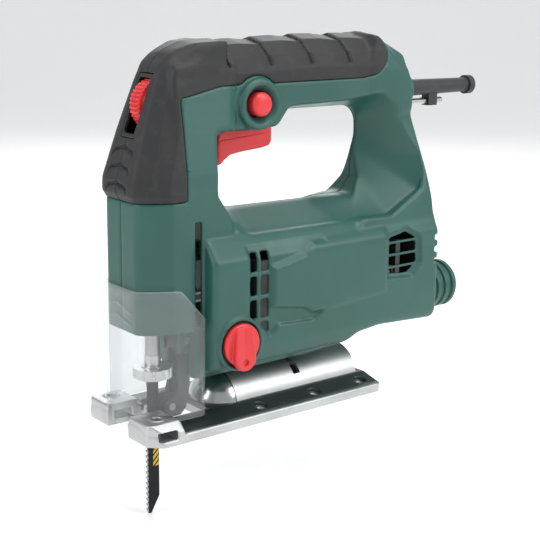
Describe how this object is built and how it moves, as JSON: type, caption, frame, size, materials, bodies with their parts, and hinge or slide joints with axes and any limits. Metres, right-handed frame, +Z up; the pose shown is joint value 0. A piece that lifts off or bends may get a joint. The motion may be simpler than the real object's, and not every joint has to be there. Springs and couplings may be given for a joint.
{
  "type": "jigsaw",
  "caption": "Corded jigsaw with a loop handle, soft nose and grip, red trigger, bevelling footplate, clear guard and a roller-guided reciprocating blade.",
  "frame": {"origin": "centre of the footplate's underside", "axes": "+X along the cut (forward), +Y to the tool's left, +Z up, square to the footplate"},
  "size_m": [0.2515, 0.073, 0.25],
  "materials": {
    "housing_plastic": "fine texture",
    "soft_grip": "fine grain",
    "red_plastic": "satin",
    "clear_plastic": "clear",
    "cast_aluminium": "satin, dark coat on top",
    "sheet_metal": "satin",
    "gear_case_metal": "as cast",
    "steel": "ground",
    "bright_steel": "polished",
    "black_steel": "blackened",
    "blade_steel": "dark, ground teeth",
    "core_steel": "laminated",
    "copper": "enamelled wire",
    "bronze": "sintered",
    "carbon": "matt carbon",
    "black_plastic": "satin",
    "felt": "felt"
  },
  "bodies": {
    "housing": {"housing_left": "housing_plastic", "housing_right": "housing_plastic", "soft_grip_left": "soft_grip", "soft_grip_right": "soft_grip", "housing_screws": "steel", "field_core": "core_steel", "field_coils": "copper", "brush_holders": "bronze", "carbon_brushes": "carbon", "brush_springs": "steel", "brush_plate": "black_plastic", "motor_bearings": "steel", "rear_bearing_cup": "black_plastic", "gear_case": "gear_case_metal", "gear_axle": "steel", "guide_pins": "steel", "fork_bracket": "housing_plastic", "fork_pin": "steel", "dust_port": "housing_plastic", "cord_sleeve": "black_plastic", "cord_clamp": "black_plastic", "capacitor": "black_plastic", "switch_module": "black_plastic", "speed_module": "black_plastic", "wheel_axle": "steel", "clamp_plate": "sheet_metal"},
    "armature": {"armature_shaft": "steel", "armature_core": "core_steel", "armature_windings": "copper", "commutator": "copper", "cooling_fan": "black_plastic", "drive_pinion": "steel"},
    "crank": {"crank_gear": "steel", "crank_pin": "steel", "counterweight": "steel"},
    "guide": {"plunger_guide": "steel", "guide_bushes": "bronze", "plunger_seal": "felt"},
    "plunger": {"plunger_rod": "steel", "plunger_yoke": "steel", "blade_holder": "bright_steel", "collar_circlip": "steel", "saw_blade": "blade_steel"},
    "collar": {"clamp_collar": "bright_steel"},
    "fork": {"roller_fork": "black_steel", "roller_axle": "steel"},
    "roller": {"blade_roller": "black_steel"},
    "sole": {"sole_plate": "cast_aluminium", "base_saddle": "sheet_metal", "saddle_rivets": "steel"},
    "bevel_screw": {"bevel_screw": "steel"},
    "guard": {"blade_guard": "clear_plastic"},
    "trigger": {"trigger": "red_plastic", "switch_plunger": "black_plastic"},
    "lock_button": {"lock_button": "red_plastic"},
    "speed_wheel": {"speed_wheel": "red_plastic"},
    "action_lever": {"action_lever": "red_plastic", "lever_shaft": "steel", "lever_cam": "black_plastic"},
    "hex_key": {"hex_key": "steel"}
  },
  "joints": [
    {"name": "armature_spin", "type": "hinge", "parent": "housing", "child": "armature", "pos_m": [0, 0, 0.066], "axis": [1, 0, 0], "continuous": true},
    {"name": "crank_spin", "type": "hinge", "parent": "housing", "child": "crank", "pos_m": [0.0275, 0, 0.09], "axis": [1, 0, 0], "continuous": true},
    {"name": "guide_swing", "type": "hinge", "parent": "housing", "child": "guide", "pos_m": [0.056, 0, 0.116], "axis": [0, -1, 0], "range_deg": [0, 1]},
    {"name": "fork_swing", "type": "hinge", "parent": "housing", "child": "fork", "pos_m": [0.0405, 0, 0.045], "axis": [0, -1, 0], "range_deg": [0, 2.98]},
    {"name": "plunger_stroke", "type": "slide", "parent": "guide", "child": "plunger", "axis": [0, 0, 1], "range_m": [-0.009, 0.009]},
    {"name": "collar_twist", "type": "hinge", "parent": "plunger", "child": "collar", "pos_m": [0.056, 0, 0.028], "axis": [0, 0, 1], "range_deg": [0, 60], "stiffness_Nm_per_rad": 0.05},
    {"name": "roller_spin", "type": "hinge", "parent": "fork", "child": "roller", "pos_m": [0.0475, 0, 0.009], "axis": [0, 1, 0], "continuous": true},
    {"name": "sole_bevel", "type": "hinge", "parent": "housing", "child": "sole", "pos_m": [0, 0, 0.005], "axis": [1, 0, 0], "range_deg": [0, 45]},
    {"name": "guard_lift", "type": "slide", "parent": "housing", "child": "guard", "axis": [0, 0, 1], "range_m": [0, 0.034]},
    {"name": "bevel_screw_turn", "type": "hinge", "parent": "housing", "child": "bevel_screw", "pos_m": [-0.03, 0, 0.015], "axis": [0, 0, 1], "range_deg": [0, 540]},
    {"name": "trigger_press", "type": "slide", "parent": "housing", "child": "trigger", "axis": [0, 0, 1], "range_m": [0, 0.005], "stiffness_N_per_m": 1500},
    {"name": "lock_press", "type": "slide", "parent": "housing", "child": "lock_button", "axis": [0, -1, 0], "range_m": [0, 0.003], "stiffness_N_per_m": 1500},
    {"name": "speed_turn", "type": "hinge", "parent": "housing", "child": "speed_wheel", "pos_m": [0.053, 0, 0.167], "axis": [0, 1, 0], "range_deg": [0, 270]},
    {"name": "action_turn", "type": "hinge", "parent": "housing", "child": "action_lever", "pos_m": [0.024, 0.03, 0.046], "axis": [0, 1, 0], "range_deg": [0, 90]},
    {"name": "key_pull", "type": "slide", "parent": "housing", "child": "hex_key", "axis": [-1, 0, 0], "range_m": [0, 0.036]}
  ],
  "couplings": [
    {"joint": "crank_spin", "follows": "armature_spin", "ratio": -0.2},
    {"joint": "fork_swing", "follows": "guide_swing", "ratio": 2.9722},
    {"joint": "guard_lift", "follows": "sole_bevel", "m_per_rad": 0.0432}
  ]
}
